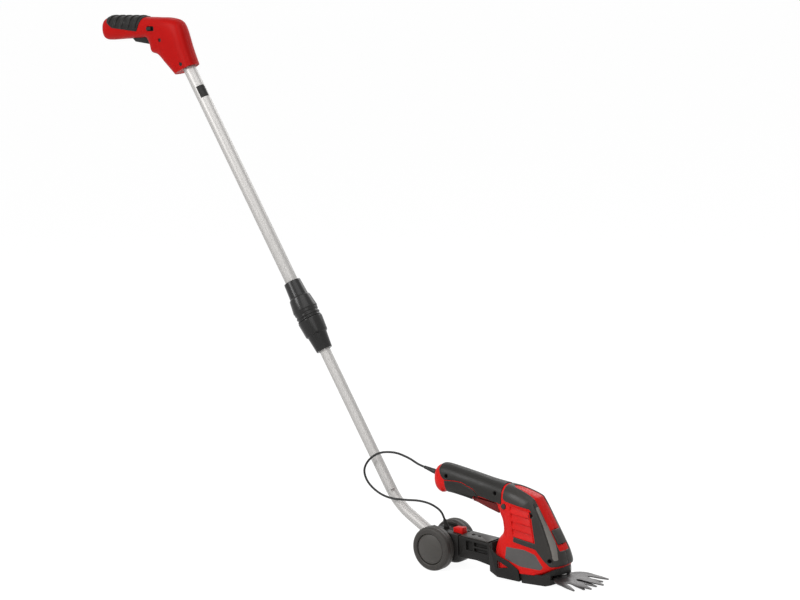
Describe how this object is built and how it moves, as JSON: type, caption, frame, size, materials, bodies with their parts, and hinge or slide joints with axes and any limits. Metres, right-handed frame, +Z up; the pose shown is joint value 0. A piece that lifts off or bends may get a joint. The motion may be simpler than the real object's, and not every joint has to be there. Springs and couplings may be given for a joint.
{
  "type": "cordless grass shears",
  "caption": "Battery grass shears with comb blades, clipped to a wheeled carriage with a bent telescopic pole, twist clamp, trigger handle and looped lead.",
  "frame": {"origin": "middle of the flat sole under the shears, on the floor", "axes": "+X from the wheels towards the blades, +Z up, the near side of the picture at -Y"},
  "size_m": [1.0945, 0.0981, 0.9904],
  "materials": {
    "red_shell": "moulded, satin to gloss",
    "grip_rubber": "soft grip, matte",
    "dark_plastic": "fine grain",
    "black_plastic": "fine grain",
    "wheel_plastic": "matte",
    "board": "lacquered board",
    "steel": "plated",
    "blade_steel": "ground",
    "alloy": "satin anodised",
    "lead": "smooth jacket"
  },
  "bodies": {
    "base": {"housing_left": "red_shell", "housing_right": "red_shell", "grip_pad_left": "grip_rubber", "grip_pad_right": "grip_rubber", "palm_pad_left": "grip_rubber", "palm_pad_right": "grip_rubber", "side_cover_left": "dark_plastic", "side_cover_right": "dark_plastic", "vent_left": "red_shell", "vent_right": "red_shell", "housing_screws": "steel", "charge_socket": "black_plastic", "battery_tray": "black_plastic", "battery_cells": "steel", "control_board": "board", "micro_switch": "black_plastic", "motor": "steel", "gear_plate": "steel", "base_tray": "black_plastic", "fixed_blade": "blade_steel", "blade_pivot": "steel", "blade_screws": "steel", "cradle": "black_plastic", "boom": "black_plastic", "boom_plate": "dark_plastic", "hub_left": "black_plastic", "hub_right": "black_plastic", "cord_gland": "black_plastic", "axle": "steel", "axle_clips": "steel", "lower_tube": "alloy", "guide_bush": "black_plastic", "cord": "lead", "cord_plug": "black_plastic"},
    "upper_pole": {"upper_tube": "alloy", "clamp_body": "black_plastic", "collet": "dark_plastic", "handle_left": "red_shell", "handle_right": "red_shell", "handle_pad": "grip_rubber", "handle_switch": "dark_plastic", "handle_screws": "steel"},
    "lock_nut": {"lock_nut": "black_plastic"},
    "handle_trigger": {"handle_trigger": "black_plastic"},
    "handle_lock": {"handle_lock": "black_plastic"},
    "trigger": {"trigger": "dark_plastic"},
    "lock_button": {"lock_button": "dark_plastic"},
    "front_button": {"front_button": "dark_plastic"},
    "release_button": {"release_button": "red_shell"},
    "drive_gear": {"drive_gear": "dark_plastic"},
    "motor_pinion": {"motor_pinion": "steel"},
    "moving_blade": {"moving_blade": "blade_steel"},
    "wheel_left": {"wheel_left": "wheel_plastic", "wheel_cap_left": "wheel_plastic"},
    "wheel_right": {"wheel_right": "wheel_plastic", "wheel_cap_right": "wheel_plastic"}
  },
  "joints": [
    {"name": "left_wheel_spin", "type": "hinge", "parent": "base", "child": "wheel_left", "pos_m": [-0.214, 0, 0.04], "axis": [0, 1, 0], "continuous": true},
    {"name": "right_wheel_spin", "type": "hinge", "parent": "base", "child": "wheel_right", "pos_m": [-0.214, 0, 0.04], "axis": [0, 1, 0], "continuous": true},
    {"name": "pole_slide", "type": "slide", "parent": "base", "child": "upper_pole", "axis": [-0.4939, 0, 0.8695], "range_m": [-0.18, 0.03]},
    {"name": "lock_nut_turn", "type": "hinge", "parent": "upper_pole", "child": "lock_nut", "pos_m": [-0.47, 0, 0.3761], "axis": [-0.4939, 0, 0.8695], "range_deg": [-60, 60]},
    {"name": "handle_trigger_press", "type": "hinge", "parent": "upper_pole", "child": "handle_trigger", "pos_m": [-0.89629, 0, 0.95298], "axis": [0, -1, 0], "range_deg": [0, 8], "stiffness_Nm_per_rad": 0.8, "springref_deg": -5.73},
    {"name": "handle_lock_slide", "type": "slide", "parent": "upper_pole", "child": "handle_lock", "axis": [1, 0, 0], "range_m": [0, 0.006], "stiffness_N_per_m": 200, "springref_m": -0.002},
    {"name": "trigger_press", "type": "hinge", "parent": "base", "child": "trigger", "pos_m": [-0.07047, 0, 0.12445], "axis": [0, 1, 0], "range_deg": [0, 6], "stiffness_Nm_per_rad": 0.8, "springref_deg": -5.73},
    {"name": "lock_button_slide", "type": "slide", "parent": "base", "child": "lock_button", "axis": [0, 1, 0], "range_m": [-0.002, 0.002], "stiffness_N_per_m": 300},
    {"name": "front_button_press", "type": "slide", "parent": "base", "child": "front_button", "axis": [-0.8813, 0, -0.4726], "range_m": [0, 0.003], "stiffness_N_per_m": 600, "springref_m": -0.002},
    {"name": "release_press", "type": "slide", "parent": "base", "child": "release_button", "axis": [0, 0, -1], "range_m": [0, 0.004], "stiffness_N_per_m": 500, "springref_m": -0.003},
    {"name": "gear_turn", "type": "hinge", "parent": "base", "child": "drive_gear", "pos_m": [0.008, 0, 0.01674], "axis": [0.1392, 0, 0.9903], "range_deg": [-129, 51]},
    {"name": "pinion_turn", "type": "hinge", "parent": "base", "child": "motor_pinion", "pos_m": [-0.01656, 0, 0.02019], "axis": [0.1392, 0, 0.9903], "range_deg": [-225, 560]},
    {"name": "blade_swing", "type": "hinge", "parent": "base", "child": "moving_blade", "pos_m": [0.04, 0, 0.01224], "axis": [0.1392, 0, 0.9903], "range_deg": [-6.7, 16.9]}
  ],
  "couplings": [
    {"joint": "pinion_turn", "follows": "gear_turn", "ratio": -4.3043},
    {"joint": "blade_swing", "follows": "gear_turn", "ratio": -0.13056}
  ]
}
